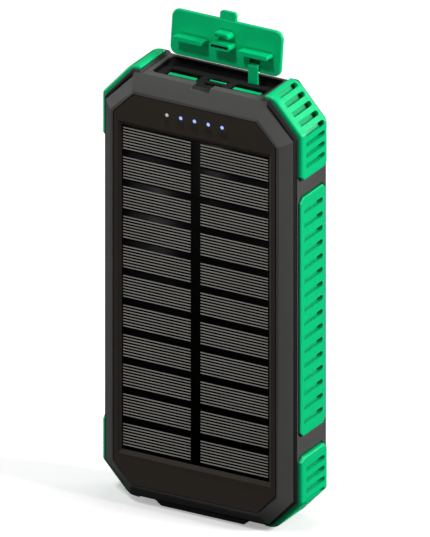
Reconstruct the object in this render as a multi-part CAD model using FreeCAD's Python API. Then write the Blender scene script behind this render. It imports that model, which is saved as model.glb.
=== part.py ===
import FreeCAD, Part
import math
import os

# Solar phone charger, standing on its bottom foot.  Millimetres.
# The layout below is written from the middle of the front panel's face:
# X to the right, Y towards the back, Z up.  Every solid is moved at export so
# that the origin lies in the middle of the bottom foot's flat face.

Vec = FreeCAD.Vector
ORIGIN_SHIFT = Vec(0, -13.0, 83.6)
OUT_DIR = "parts"

# ---- front bezel: octagon outlines (half width, top, bottom, chamfer legs) ----
BEVEL_INNER = dict(half=34.25, top=76.4, bot=-76.4, top_leg=(8.8, 8.9), bot_leg=(8.2, 8.9))
BEZEL_OUTER = dict(half=38.0, top=81.7, bot=-80.2, top_leg=(10.6, 11.8), bot_leg=(10.0, 10.75))
# How far each bevel plane has spread by its back edge: bottom-right chamfer,
# side, top-right chamfer, top, then the left side the other way round.
BEVEL_SPREAD = (5.51, 5.105, 5.11, 5.3, 5.11, 5.105, 5.51, 5.17)
BEVEL_FRONT_Y = 0.28
BEVEL_BACK_Y = 4.8
FACET_WIDTH = 1.09
PANEL_GAP = 0.35
BEZEL_BACK_Y = 4.94
LAND_Y = 3.78            # back edge of the thin land behind the bevel
SEAM_DEPTH = 1.1         # how far the seam groove goes in
SEAM_GAP_HALF = 27.3     # the groove leaves out the top edge between its corners
GASKET_PROUD = 0.45      # how far the gasket stands out past the bezel edge
GASKET_INSET = 0.55      # bare bottom of the groove behind the gasket
PANEL_LEDGE = 2.2        # width of the ledge that the panel lies on

# ---- front panel, solar window ----
PANEL_THICK = 1.8
PANEL_SEAT_Y = PANEL_THICK + 0.02
WINDOW_HALF = 31.0
WINDOW_HALF_H = 64.0
WINDOW_FLOOR_HALF = 29.9
WINDOW_FLOOR_HALF_H = 62.4
WINDOW_DEPTH = 0.9
LAMINATE_HALF = 30.5
LAMINATE_HALF_H = 63.1
LAMINATE_THICK = 1.1
POCKET_FIT = 0.1
CELL_WIDTH = 27.5
CELL_HEIGHT = 9.0
CELL_THICK = 0.2
CELL_ROWS = 11
CELL_PITCH = 11.4
CELL_GAP = 3.9

# ---- indicator lights ----
LIGHT_PITCH = 5.6
LIGHT_Z = 70.2
LIGHT_RADIUS = 0.7
LIGHT_XS = [LIGHT_PITCH * step for step in (-2, -1, 0, 1, 2)]
LENS_SUNK = 0.05
LENS_FIT = 0.02
LENS_FLANGE = 0.5        # width and thickness of the flange behind the panel

# ---- rear shell ----
WALL_PROUD = 0.94
SHELL_BACK_Y = 26.8
BACK_CHAMFER = 1.4
WALL_THICK = 1.7
RUBBER_SEAT = 1.0        # depth of the seats in the wall
WALL_X = BEZEL_OUTER["half"] + WALL_PROUD
WALL_BOTTOM_Z = BEZEL_OUTER["bot"] - WALL_PROUD
SHELL_FLOOR_Y = SHELL_BACK_Y - WALL_THICK
CAVITY_X = WALL_X - WALL_THICK - RUBBER_SEAT

# ---- case screws and their posts, behind the four chamfers ----
POST_RADIUS = 3.2
SCREW_SPOTS = [(29.0, 64.5), (29.0, -66.0), (-29.0, 64.5), (-29.0, -66.0)]
SCREW_BORE = 1.15
SCREW_SHANK = 0.88
SCREW_PILOT = 0.9
SCREW_HEAD = (2.0, 1.3)        # radius, thickness
HEAD_RECESS = (2.2, 2.2)       # radius, depth
CROSS_HALF = (1.2, 0.22)       # half length and half width of the cross slot
CROSS_DEPTH = 0.7
CARRIER_FRONT_Y = PANEL_SEAT_Y + 1.5
CARRIER_INSETS = (2.25, 4.5)   # outer and inner edge, in from the panel outline
CARRIER_CUTOUT = (16.0, 60.0, 80.0)   # half width, low, high: room for the lights

# ---- top plate and port bay ----
PLATE_HALF = 24.7
PLATE_BACK_Y = 25.7
PLATE_FIT = 0.05
RIM_Z = 81.7
BACK_RIM_Y = 24.9        # behind this the rim is lower
BACK_RIM_Z = 81.05
PLATE_THICK = 2.3
PLATE_GROOVE = (0.5, 0.7)      # width and depth of the joint line beside the plate
BAY_HALF = 22.7
BAY_FRONT_Y = 8.0
BAY_BACK_Y = 25.2
BAY_FRONT_CORNER = 3.0
BAY_BACK_CORNER = 2.0
BAY_FLOOR_Z = 79.4
BAY_FLOOR_THICK = 1.4
NOTCH_HALF = 3.75
NOTCH_FLOOR_Z = 80.1
NOTCH_FRONT_Y = 2.0

# ---- ports ----
USB_A_X = 13.15
USB_A_OPEN = (12.5, 5.12)
USB_A_Y = 15.65
USB_A_DEPTH = 14.0
USB_A_TONGUE_Y = 14.7
USB_A_TONGUE = (11.1, 1.84, 0.2)      # width, thickness, corner radius
USB_SHELL_THICK = 0.3
USB_SHELL_FIT = 0.05
USB_BACK_THICK = 0.5
USB_A_ROOT = 2.0
USB_C_ROOT = 1.2
USB_C_Y = 16.9
USB_C_OPEN = (8.34, 2.56)
USB_C_TONGUE = (6.69, 0.7, 0.15)
USB_C_DEPTH = 7.4
MICRO_Y = 12.7
MICRO_OPEN = (6.9, 1.85)
MICRO_DEPTH = 5.6
MICRO_CORNER = 0.9
MICRO_BACK_THICK = 0.4
MICRO_ROOT = 0.8
MICRO_TONGUE = (1.9, 0.15, 0.65)      # half width, front and back of the mid line
PORT_MOUTH_Z = 79.3

# ---- flap, drawn closed, then opened to the rest pose ----
FLAP_HALF = 22.45
FLAP_FRONT_Y = 8.05
FLAP_BACK_Y = 24.9
FLAP_INNER_Z = 80.0
FLAP_TAB_CORNER = 3.0     # corners beside the tab
FLAP_HINGE_CORNER = 3.0   # corners beside the tether
FLAP_SKIN = 0.4           # outer skin left over the tether hook
FLAP_HINGE_ROUND = 0.62   # rounding of the hinge edge
TAB_HALF = 3.15
TAB_REACH = 3.0
TAB_CORNER = 0.9
PLUG_Y = 17.4
PLUG_SIZE = (12.2, 1.5)
PLUG_CORNER = 0.5
PLUG_LENGTH = 4.8
PLUG_TIP_Z = FLAP_INNER_Z - PLUG_LENGTH
PLUG_ROOT_Z = FLAP_INNER_Z + 0.2
OVAL_SIZE = (8.2, 2.4, 1.18)          # length, width, corner radius
OVAL_SLOT = (7.0, 1.0, 0.3)
MICRO_PLUG_FIT = 0.12
MICRO_PLUG_SLOT = (2.1, 0.85)         # half width, depth
FLAP_OPEN_DEG = 96.5
TETHER_TRAVEL = 5.6
PIVOT_Y = 22.3
PIVOT_OPEN_Z = 86.1
PIN_RADIUS = 0.28
PIN_GRIP = 2.0
EYE_BORE = 0.33
EYE_RADIUS = 0.7
HOOK_TOP_Z = PIVOT_OPEN_Z + EYE_RADIUS
HOOK_RADIUS = 1.05
TETHER_X = 12.0
TETHER_WIDTH = 3.8
TETHER_FRONT_Y = 20.4
TETHER_THICK = 1.1
TETHER_FIT = 0.06
ANCHOR_HALF = 3.2
ANCHOR_LIP = 0.5
ANCHOR_HEIGHT = 1.55
RELIEF_WIDTH = 4.3
RELIEF_REACH = 4.8
TROUGH_FRONT_Y = 19.8     # a trough behind the ports takes the hinge edge of the open flap
TROUGH_FLOOR_Z = 77.6
TROUGH_WALL = 0.6
BRIDGE_FIT = 0.1          # bridge over the trough, round the tether
BRIDGE_BACK = 0.4

# ---- rubber bumpers and grips ----
BUMPER_PROUD = 1.66
BUMPER_END_PROUD = 1.15  # on the top and the bottom of the case
BUMPER_Y = (5.6, 23.6)
BUMPER_TOP_CORNER = 6.0  # outline radius where the chamfer meets the top
BUMPER_SIDE_CORNER = 1.6
BUMPER_ROUND = 0.9       # rounding of the outer edges
BUMPER_TOP_END = 53.3
BUMPER_INNER_X = 25.3
BUMPER_BOTTOM_END = -53.0
GRIP_PROUD = 0.86
GRIP_ROUND = 0.45
SHADOW_GAP = 0.45        # groove round each piece of rubber
SHADOW_DEPTH = 0.7
GRIP_Y = (6.1, 23.8)
GRIP_Z = (-45.4, 46.4)
END_CUT = 1.8
SLOT_WIDTH = 2.0
SLOT_Y = (8.6, 20.5)
SLOT_CLEAR = 3.0
SLOT_HOLE_DEPTH = 3.2
BUMPER_SLOT_DEPTH = (1.6, 1.8)
GRIP_SLOT_DEPTH = (1.2, 1.35)
BUMPER_SLOT_PITCH = 4.13
GRIP_SLOT_PITCH = 5.38
GRIP_SLOT_COUNT = 16

# ---- power button ----
BUTTON_Z = 25.0
BUTTON_Y = 15.0
BUTTON_SIZE = (6.0, 12.0)      # across Y, along Z
BUTTON_FRAME = 1.6
BUTTON_CORNER = 2.0
BUTTON_FACE_X = -40.1
BUTTON_BACK_X = -34.6
BUTTON_ROUND = 0.4
BUTTON_LIP = 1.0
BUTTON_FIT = 0.06
BUTTON_TRAVEL = 0.4
SWITCH_X = (-33.7, -31.0)
SWITCH_HALF = 3.0
PLUNGER = (1.5, 1.5)           # radius, length
SWITCH_BOARD = (1.0, 5.0, 9.0)     # thickness, half width, half height

# ---- boards and battery ----
BOARD_THICK = 1.0
MAIN_BOARD_Y = USB_A_Y + USB_A_OPEN[1] / 2 + USB_SHELL_THICK
MAIN_BOARD = (24.0, 44.0, 77.0)            # half width, low, high
CHARGE_BOARD_BACK_Y = MICRO_Y - MICRO_OPEN[1] / 2 - USB_SHELL_THICK
CHARGE_BOARD = (10.0, 58.0, 76.0)
LIGHT_BOARD_Y = 3.6
LIGHT_BOARD = (15.0, 67.4, 72.6)
LED_SIZE = (0.8, 0.85, 0.4)        # half width, depth, half height
# left, right, height above the board, low, high
BOARD_CHIPS = [(-4.0, 4.0, 1.2, 50.0, 58.0), (8.0, 14.5, 3.2, 50.0, 56.5), (-16.0, -11.0, 1.0, 51.0, 55.0)]
CELL_BLOCK = (58.0, 7.8, 2.0)              # width, thickness, corner radius
CELL_BLOCK_YS = (9.6, 18.4)
CELL_BLOCK_Z = (-61.5, 42.0)
TAPE_HALF = 24.0
TAPE_Y = (13.5, 14.5)
TAPE_Z = (-56.0, 36.0)
PAD_FRONT_Y = 22.3
PAD_Z = (-54.0, 34.0)
LEAD_MID_Y = 14.0
BATTERY_LEAD = dict(xs=(18.0, 20.5), radius=0.6, start_z=40.5, end_z=46.5)
SOLAR_LEAD = dict(xs=(-20.0, -17.5), radius=0.5, start_y=2.2, z=50.0)

# ---- foot ----
FOOT_Z = -83.6
FOOT_TOP_HALF = 19.7
FOOT_FLAT_HALF = 16.6
FOOT_Y = (5.6, 20.4)
FOOT_SEAT_DEPTH = 0.8
FOOT_SEAT_INSET = 1.0
FOOT_FIT = 0.02
FOOT_ROUND = 0.6

# numbers of the outline edges, counted from the bottom-right chamfer
TOP_EDGE = 3
BOTTOM_EDGE = 7
BACKWARDS = Vec(0, 1, 0)
SIDEWAYS = Vec(1, 0, 0)


def box(x0, x1, y0, y1, z0, z1):
    return Part.makeBox(x1 - x0, y1 - y0, z1 - z0, Vec(x0, y0, z0))


def prism_y(points, y0, y1):
    """Closed X, Z outline pushed from y0 to y1."""
    corners = [Vec(x, y0, z) for x, z in points]
    face = Part.Face(Part.makePolygon(corners + corners[:1]))
    return face.extrude(Vec(0, y1 - y0, 0))


def prism_x(points, x0, x1):
    """Closed Y, Z outline pushed from x0 to x1."""
    corners = [Vec(x0, y, z) for y, z in points]
    face = Part.Face(Part.makePolygon(corners + corners[:1]))
    return face.extrude(Vec(x1 - x0, 0, 0))


def octagon(half, top, bot, top_leg, bot_leg):
    """Corner points, right side going up, then left side coming down."""
    right = [
        (half - bot_leg[0], bot),
        (half, bot + bot_leg[1]),
        (half, top - top_leg[1]),
        (half - top_leg[0], top),
    ]
    return right + [(-x, z) for x, z in reversed(right)]


def grow(points, distance):
    """Offset a convex, anticlockwise outline; positive distances go outwards.

    One distance serves every edge, or a tuple gives each edge its own.
    """
    lines = []
    count = len(points)
    distances = distance if isinstance(distance, tuple) else (distance,) * count
    for i in range(count):
        (x0, z0), (x1, z1) = points[i], points[(i + 1) % count]
        length = math.hypot(x1 - x0, z1 - z0)
        nx, nz = (z1 - z0) / length, -(x1 - x0) / length
        lines.append((nx, nz, nx * x0 + nz * z0 + distances[i]))
    result = []
    for i in range(count):
        a, b, c = lines[i - 1]
        d, e, f = lines[i]
        det = a * e - b * d
        result.append(((c * e - b * f) / det, (a * f - c * d) / det))
    return result


def frustum(front_points, front_y, back_points, back_y):
    """Solid between two outlines whose matching edges are parallel."""
    front = [Vec(x, front_y, z) for x, z in front_points]
    back = [Vec(x, back_y, z) for x, z in back_points]
    faces = [Part.Face(Part.makePolygon(front + front[:1])), Part.Face(Part.makePolygon(back + back[:1]))]
    for i in range(len(front)):
        j = (i + 1) % len(front)
        quad = [front[i], front[j], back[j], back[i], front[i]]
        faces.append(Part.Face(Part.makePolygon(quad)))
    solid = Part.Solid(Part.makeShell(faces))
    if solid.Volume < 0:
        solid.reverse()
    return solid


def rounded_box(cx, cy, size_x, size_y, radius, z0, z1):
    """Upright block with rounded vertical edges."""
    block = box(cx - size_x / 2, cx + size_x / 2, cy - size_y / 2, cy + size_y / 2, z0, z1)
    upright = [e for e in block.Edges if abs(e.Vertexes[0].Z - e.Vertexes[1].Z) > 1e-6]
    return block.makeFillet(radius, upright)


def round_upright(block, radius, side_y):
    """Round the upright edges of a block that lie at one Y."""
    edges = [
        e for e in block.Edges
        if abs(e.CenterOfMass.y - side_y) < 1e-6 and abs(e.Vertexes[0].Z - e.Vertexes[1].Z) > 1e-6
    ]
    return block.makeFillet(radius, edges)


def rounded_plate_x(x0, x1, cy, cz, size_y, size_z, radius):
    """Plate across X with rounded Y-Z corners."""
    block = box(x0, x1, cy - size_y / 2, cy + size_y / 2, cz - size_z / 2, cz + size_z / 2)
    edges = [e for e in block.Edges if abs(e.Vertexes[0].X - e.Vertexes[1].X) > 1e-6]
    return block.makeFillet(radius, edges)


def cylinder(x, y, z, axis, radius, length):
    return Part.makeCylinder(radius, length, Vec(x, y, z), axis)


def fuse_all(shapes):
    result = shapes[0]
    if len(shapes) > 1:
        result = result.multiFuse(shapes[1:])
    return result.removeSplitter()


def mirror_x(shape):
    return shape.mirror(Vec(0, 0, 0), Vec(1, 0, 0))


def rectangle(half_x, half_z):
    return [(-half_x, -half_z), (half_x, -half_z), (half_x, half_z), (-half_x, half_z)]


def rounded_outline_block(points, y0, y1, top_radius, side_radius):
    """Prism of the case outline whose bumper corners are rounded."""
    block = prism_y(points, y0, y1)
    for radius, near_top in ((top_radius, True), (side_radius, False)):
        corners = []
        for edge in block.Edges:
            middle = edge.CenterOfMass
            is_corner = abs(edge.Length - (y1 - y0)) < 1e-6 and abs(middle.y - (y0 + y1) / 2) < 1e-6
            if is_corner and (abs(middle.x) < WALL_X - 2.0) == near_top:
                corners.append(edge)
        block = block.makeFillet(radius, corners)
    return block


def end_cut_outline(y0, y1, far, near, cut):
    """Outline in Y and Z whose far end has both corners cut."""
    step = cut if far > near else -cut
    return [(y0, near), (y1, near), (y1, far - step), (y1 - cut, far), (y0 + cut, far), (y0, far - step)]


def bumper_rim_points():
    """Case outline as raised by the bumpers: less on the top and the bottom."""
    raised = [BUMPER_PROUD] * len(wall_points)
    raised[TOP_EDGE] = BUMPER_END_PROUD
    raised[BOTTOM_EDGE] = BUMPER_END_PROUD
    return grow(wall_points, tuple(raised))


def bumper_space(end_z, beyond_z, depth, spread, cut_ends):
    """Space round one right-hand case corner, from the seat depth outwards.

    The spread makes the space bigger on every side than the bumper itself.
    """
    y0, y1 = BUMPER_Y[0] - spread, BUMPER_Y[1] + spread
    outer = rounded_outline_block(bumper_rim_points(), y0, y1, BUMPER_TOP_CORNER, BUMPER_SIDE_CORNER)
    ring = outer.cut(prism_y(grow(wall_points, -depth), y0 - 1.0, y1 + 1.0))
    end = end_z - spread if end_z > 0 else end_z + spread
    ring = ring.common(prism_x(end_cut_outline(y0, y1, end, beyond_z, cut_ends), 20.0, 60.0))
    return ring.cut(box(0.0, BUMPER_INNER_X - spread, 0.0, 40.0, -100.0, 100.0))


def grip_space(depth, spread, proud):
    """Eight-sided block of a side grip on the right wall."""
    y0, y1 = GRIP_Y[0] - spread, GRIP_Y[1] + spread
    z0, z1 = GRIP_Z[0] - spread, GRIP_Z[1] + spread
    outline = [
        (y0 + END_CUT, z0),
        (y1 - END_CUT, z0),
        (y1, z0 + END_CUT),
        (y1, z1 - END_CUT),
        (y1 - END_CUT, z1),
        (y0 + END_CUT, z1),
        (y0, z1 - END_CUT),
        (y0, z0 + END_CUT),
    ]
    return prism_x(outline, WALL_X - depth, WALL_X + proud)


def usb_a_hole(x, grow_by, z0, z1):
    return box(x - USB_A_OPEN[0] / 2 - grow_by, x + USB_A_OPEN[0] / 2 + grow_by,
               USB_A_Y - USB_A_OPEN[1] / 2 - grow_by, USB_A_Y + USB_A_OPEN[1] / 2 + grow_by, z0, z1)


def usb_c_hole(grow_by, z0, z1):
    width = USB_C_OPEN[0] + 2 * grow_by
    height = USB_C_OPEN[1] + 2 * grow_by
    return rounded_box(0, USB_C_Y, width, height, height / 2 - 0.02, z0, z1)


def micro_hole(grow_by, z0, z1):
    """Micro-USB outline: flat at the back, cut corners at the front."""
    half = MICRO_OPEN[0] / 2 + grow_by
    y0 = MICRO_Y - MICRO_OPEN[1] / 2 - grow_by
    y1 = MICRO_Y + MICRO_OPEN[1] / 2 + grow_by
    cut = MICRO_CORNER
    right = [(half, y1), (half, y0 + cut), (half - cut, y0)]
    outline = right + [(-x, y) for x, y in reversed(right)]
    corners = [Vec(x, y, z0) for x, y in outline]
    return Part.Face(Part.makePolygon(corners + corners[:1])).extrude(Vec(0, 0, z1 - z0))


def open_flap(shape):
    """Carry a closed flap piece up with the tether and swing it open."""
    moved = shape.copy()
    moved.translate(Vec(0, 0, TETHER_TRAVEL))
    moved.rotate(Vec(0, PIVOT_Y, PIVOT_OPEN_Z), SIDEWAYS, -FLAP_OPEN_DEG)
    return moved


def slot_tool(depth_front, depth_back):
    """Slot pocket in local axes: X out of the surface, Y along the slot.

    The floor slopes from shallow to deep and ends in a round hole through
    the rubber.
    """
    half = SLOT_WIDTH / 2
    length = SLOT_Y[1] - SLOT_Y[0]
    outline = [(0.0, -depth_front), (length, -depth_back), (length, SLOT_CLEAR), (0.0, SLOT_CLEAR)]
    corners = [Vec(x, y, -half) for y, x in outline]
    ramp = Part.Face(Part.makePolygon(corners + corners[:1])).extrude(Vec(0, 0, SLOT_WIDTH))
    hole = cylinder(-SLOT_HOLE_DEPTH, length, 0, SIDEWAYS, half, SLOT_CLEAR + SLOT_HOLE_DEPTH)
    return ramp.fuse(hole)


def place_slot(tool, x, z, angle_deg):
    placed = tool.copy()
    placed.rotate(Vec(0, 0, 0), Vec(0, 1, 0), -angle_deg)
    placed.translate(Vec(x, SLOT_Y[0], z))
    return placed


def heading_deg(start, end):
    """Outward angle of the wall that runs from one outline corner to the next."""
    return math.degrees(math.atan2(start[0] - end[0], end[1] - start[1]))


def places_around(points, corner_index, distances):
    """Places along the outline, measured from one corner, with outward angles."""
    before, corner, after = points[corner_index - 1], points[corner_index], points[corner_index + 1]
    angle_before = heading_deg(before, corner)
    angle_after = heading_deg(corner, after)
    places = []
    for distance in distances:
        target = after if distance >= 0 else before
        share = abs(distance) / math.hypot(target[0] - corner[0], target[1] - corner[1])
        x = corner[0] + (target[0] - corner[0]) * share
        z = corner[1] + (target[1] - corner[1]) * share
        if distance == 0:
            angle = (angle_before + angle_after) / 2
        else:
            angle = angle_after if distance > 0 else angle_before
        places.append((x, z, angle))
    return places


def distance_outside(point):
    """How far a point lies outside the wall outline."""
    best = -1000.0
    count = len(wall_points)
    for i in range(count):
        (x0, z0), (x1, z1) = wall_points[i], wall_points[(i + 1) % count]
        length = math.hypot(x1 - x0, z1 - z0)
        nx, nz = (z1 - z0) / length, -(x1 - x0) / length
        best = max(best, nx * (point.x - x0) + nz * (point.z - z0))
    return best


def round_outer_edges(block, radius):
    """Round the outer edges of a bumper, but not the seams of its round corners."""
    edges = []
    for edge in block.Edges:
        middle = edge.valueAt((edge.FirstParameter + edge.LastParameter) / 2)
        runs_back = abs(edge.Vertexes[0].Y - edge.Vertexes[-1].Y) > 5.0
        is_seam = runs_back and abs(middle.x - BUMPER_INNER_X) > 0.01 and not is_end_edge(middle)
        if distance_outside(middle) > BUMPER_END_PROUD - 0.3 and not is_seam:
            edges.append(edge)
    return block.makeFillet(radius, edges)


def is_end_edge(middle):
    return abs(middle.z - BUMPER_TOP_END) < 0.01 or abs(middle.z - BUMPER_BOTTOM_END) < 0.01


def board(front_y, half, low, high):
    """Circuit board that stands upright, parallel to the front."""
    return box(-half, half, front_y, front_y + BOARD_THICK, low, high)


def wire(points, radius):
    path = Part.makePolygon([Vec(*p) for p in points])
    profile = Part.Wire(Part.makeCircle(radius, Vec(*points[0]), Vec(*points[1]) - Vec(*points[0])))
    return Part.Wire(path).makePipeShell([profile], True, False, 2)


def save(name, *shapes):
    """Write one node, with every shape as its own solid."""
    solids = []
    for shape in shapes:
        for solid in shape.Solids:
            moved = solid.copy()
            moved.translate(ORIGIN_SHIFT)
            if not moved.isValid():
                raise ValueError(name + " is not a valid solid")
            solids.append(moved)
    result = solids[0] if len(solids) == 1 else Part.makeCompound(solids)
    result.exportStep(os.path.join(OUT_DIR, name + ".step"))
    print(name, len(solids), round(sum(s.Volume for s in solids), 1))


os.makedirs(OUT_DIR, exist_ok=True)

outer_points = octagon(**BEZEL_OUTER)
inner_points = octagon(**BEVEL_INNER)
wall_points = grow(outer_points, WALL_PROUD)
facet_points = grow(inner_points, -FACET_WIDTH)
panel_points = grow(inner_points, -FACET_WIDTH - PANEL_GAP)

# ---------------------------------------------------------------- front bezel
bevel_block = frustum(inner_points, BEVEL_FRONT_Y, grow(inner_points, BEVEL_SPREAD), BEVEL_BACK_Y)
bevel_block = bevel_block.common(prism_y(outer_points, 0.0, BEVEL_BACK_Y))
bezel = bevel_block.fuse(prism_y(outer_points, BEVEL_BACK_Y, BEZEL_BACK_Y))
bezel = bezel.fuse(frustum(facet_points, 0.0, inner_points, BEVEL_FRONT_Y))
bezel = bezel.cut(prism_y(facet_points, -1.0, PANEL_SEAT_Y))
bezel = bezel.cut(prism_y(grow(panel_points, -PANEL_LEDGE), 0.0, BEZEL_BACK_Y + 1.0))

seam_ring = prism_y(grow(outer_points, GASKET_PROUD), LAND_Y, BEZEL_BACK_Y)
seam_core = prism_y(grow(outer_points, -SEAM_DEPTH), LAND_Y - 1.0, BEZEL_BACK_Y + 1.0)
top_edge_space = box(-SEAM_GAP_HALF, SEAM_GAP_HALF, 0, 10, 0, 100)
seam_space = seam_ring.cut(seam_core).cut(top_edge_space)
bezel = bezel.cut(seam_space)
notch_space = box(-NOTCH_HALF, NOTCH_HALF, NOTCH_FRONT_Y, BAY_FRONT_Y + 0.2, NOTCH_FLOOR_Z, RIM_Z + 5)
bezel = bezel.cut(notch_space)
save("front_bezel", bezel.removeSplitter())

gasket_core = prism_y(grow(outer_points, -SEAM_DEPTH + GASKET_INSET), LAND_Y - 1.0, BEZEL_BACK_Y + 1.0)
gasket = seam_space.cut(gasket_core)
save("seam_gasket", gasket.removeSplitter())

# ---------------------------------------------------------------- front panel
panel = prism_y(panel_points, 0.0, PANEL_THICK)
window = frustum(rectangle(WINDOW_HALF, WINDOW_HALF_H), 0.0,
                 rectangle(WINDOW_FLOOR_HALF, WINDOW_FLOOR_HALF_H), WINDOW_DEPTH)
pocket_half = LAMINATE_HALF + POCKET_FIT
pocket_half_h = LAMINATE_HALF_H + POCKET_FIT
laminate_pocket = box(-pocket_half, pocket_half, WINDOW_DEPTH, PANEL_THICK + 1, -pocket_half_h, pocket_half_h)
panel = panel.cut(window).cut(laminate_pocket)
for light_x in LIGHT_XS:
    panel = panel.cut(cylinder(light_x, -1.0, LIGHT_Z, BACKWARDS, LIGHT_RADIUS, PANEL_THICK + 2))
save("front_panel", panel.removeSplitter())

lenses = []
for light_x in LIGHT_XS:
    stem = cylinder(light_x, LENS_SUNK, LIGHT_Z, BACKWARDS, LIGHT_RADIUS - LENS_FIT, PANEL_THICK - LENS_SUNK)
    flange = cylinder(light_x, PANEL_THICK, LIGHT_Z, BACKWARDS, LIGHT_RADIUS + LENS_FLANGE, LENS_FLANGE)
    lenses.append(stem.fuse(flange).removeSplitter())
save("charging_lens", lenses[0])
save("level_lenses", *lenses[1:])

# --------------------------------------------------------------- solar panel
laminate_y = WINDOW_DEPTH + CELL_THICK
laminate = box(-LAMINATE_HALF, LAMINATE_HALF, laminate_y, laminate_y + LAMINATE_THICK,
               -LAMINATE_HALF_H, LAMINATE_HALF_H)
save("solar_laminate", laminate)
cells = []
column_x = (CELL_GAP + CELL_WIDTH) / 2
for row in range(CELL_ROWS):
    cell_z = (row - (CELL_ROWS - 1) / 2) * CELL_PITCH
    for side in (-1, 1):
        cells.append(
            box(
                side * column_x - CELL_WIDTH / 2,
                side * column_x + CELL_WIDTH / 2,
                WINDOW_DEPTH,
                WINDOW_DEPTH + CELL_THICK,
                cell_z - CELL_HEIGHT / 2,
                cell_z + CELL_HEIGHT / 2,
            )
        )
save("solar_cells", *cells)

# ----------------------------------------------------------------- rear shell
shell = prism_y(wall_points, BEZEL_BACK_Y, SHELL_BACK_Y)
rear_face = [f for f in shell.Faces if abs(f.CenterOfMass.y - SHELL_BACK_Y) < 1e-6][0]
shell = shell.makeChamfer(BACK_CHAMFER, rear_face.Edges)
cavity = prism_y(grow(wall_points, -WALL_THICK - RUBBER_SEAT), BEZEL_BACK_Y - 1, SHELL_BACK_Y - WALL_THICK)
shell = shell.cut(cavity)
plate_gap = box(-PLATE_HALF, PLATE_HALF, BEZEL_BACK_Y - 1, PLATE_BACK_Y, 70.0, 90.0)
shell = shell.cut(plate_gap)
shell = shell.cut(box(-PLATE_HALF, PLATE_HALF, PLATE_BACK_Y - 0.5, SHELL_BACK_Y + 1, BACK_RIM_Z, 90.0))

# The rubber goes into its seat with no gap, as moulded-on rubber does; a
# shallow groove runs round each piece.
bumper_top = bumper_space(BUMPER_TOP_END, 100.0, RUBBER_SEAT, 0.0, END_CUT)
bumper_bottom = bumper_space(BUMPER_BOTTOM_END, -100.0, RUBBER_SEAT, 0.0, END_CUT)
grip = grip_space(RUBBER_SEAT, 0.0, GRIP_PROUD)
seats = [
    bumper_top,
    bumper_bottom,
    grip,
    bumper_space(BUMPER_TOP_END, 100.0, SHADOW_DEPTH, SHADOW_GAP, END_CUT),
    bumper_space(BUMPER_BOTTOM_END, -100.0, SHADOW_DEPTH, SHADOW_GAP, END_CUT),
    grip_space(SHADOW_DEPTH, SHADOW_GAP, GRIP_PROUD),
]
for seat in seats:
    shell = shell.cut(seat).cut(mirror_x(seat))

# Hole for the power button through the left wall.
button_hole = rounded_plate_x(-WALL_X - 3, -30.0, BUTTON_Y, BUTTON_Z, BUTTON_SIZE[0] + 2 * BUTTON_FIT,
                              BUTTON_SIZE[1] + 2 * BUTTON_FIT, BUTTON_CORNER + BUTTON_FIT)
shell = shell.cut(button_hole)

post_length = SHELL_FLOOR_Y - BEZEL_BACK_Y
for x, z in SCREW_SPOTS:
    shell = shell.fuse(cylinder(x, BEZEL_BACK_Y + 0.1, z, BACKWARDS, POST_RADIUS, post_length))
for x, z in SCREW_SPOTS:
    shell = shell.cut(cylinder(x, BEZEL_BACK_Y, z, BACKWARDS, SCREW_BORE, 30.0))
    shell = shell.cut(cylinder(x, SHELL_BACK_Y - HEAD_RECESS[1], z, BACKWARDS, HEAD_RECESS[0], 10.0))
# Seat for the foot in the bottom wall.
foot_seat = box(-FOOT_FLAT_HALF, FOOT_FLAT_HALF, FOOT_Y[0] + FOOT_SEAT_INSET, FOOT_Y[1] - FOOT_SEAT_INSET,
                WALL_BOTTOM_Z - 1, WALL_BOTTOM_Z + FOOT_SEAT_DEPTH)
shell = shell.cut(foot_seat)
save("rear_shell", shell.removeSplitter())

# Bosses inside the bezel that take the case screws, as a separate carrier frame.
carrier = prism_y(grow(outer_points, -SEAM_DEPTH), CARRIER_FRONT_Y, BEZEL_BACK_Y)
carrier = carrier.cut(prism_y(grow(panel_points, -CARRIER_INSETS[1]), 0.0, 10.0))
carrier_depth = BEZEL_BACK_Y - CARRIER_FRONT_Y
screw_bosses = []
for x, z in SCREW_SPOTS:
    screw_bosses.append(cylinder(x, CARRIER_FRONT_Y, z, BACKWARDS, POST_RADIUS, carrier_depth))
carrier = fuse_all([carrier] + screw_bosses)
carrier = carrier.common(prism_y(grow(panel_points, -CARRIER_INSETS[0]), 0.0, 10.0))
for x, z in SCREW_SPOTS:
    carrier = carrier.cut(cylinder(x, 0.0, z, BACKWARDS, SCREW_PILOT, 20.0))
cutout_half, cutout_low, cutout_high = CARRIER_CUTOUT
carrier = carrier.cut(box(-cutout_half, cutout_half, 0.0, 10.0, cutout_low, cutout_high))
save("panel_carrier", carrier.removeSplitter())

screws = []
head_y = SHELL_BACK_Y - HEAD_RECESS[1]
shank_y = CARRIER_FRONT_Y + 0.3
cross_y = head_y + SCREW_HEAD[1] - CROSS_DEPTH
long_half, thin_half = CROSS_HALF
for x, z in SCREW_SPOTS:
    head = cylinder(x, head_y, z, BACKWARDS, SCREW_HEAD[0], SCREW_HEAD[1])
    shank = cylinder(x, shank_y, z, BACKWARDS, SCREW_SHANK, head_y - shank_y)
    cross = box(x - long_half, x + long_half, cross_y, SHELL_BACK_Y, z - thin_half, z + thin_half)
    cross = cross.fuse(box(x - thin_half, x + thin_half, cross_y, SHELL_BACK_Y, z - long_half, z + long_half))
    screws.append(head.fuse(shank).cut(cross).removeSplitter())
save("case_screws", *screws)

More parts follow.
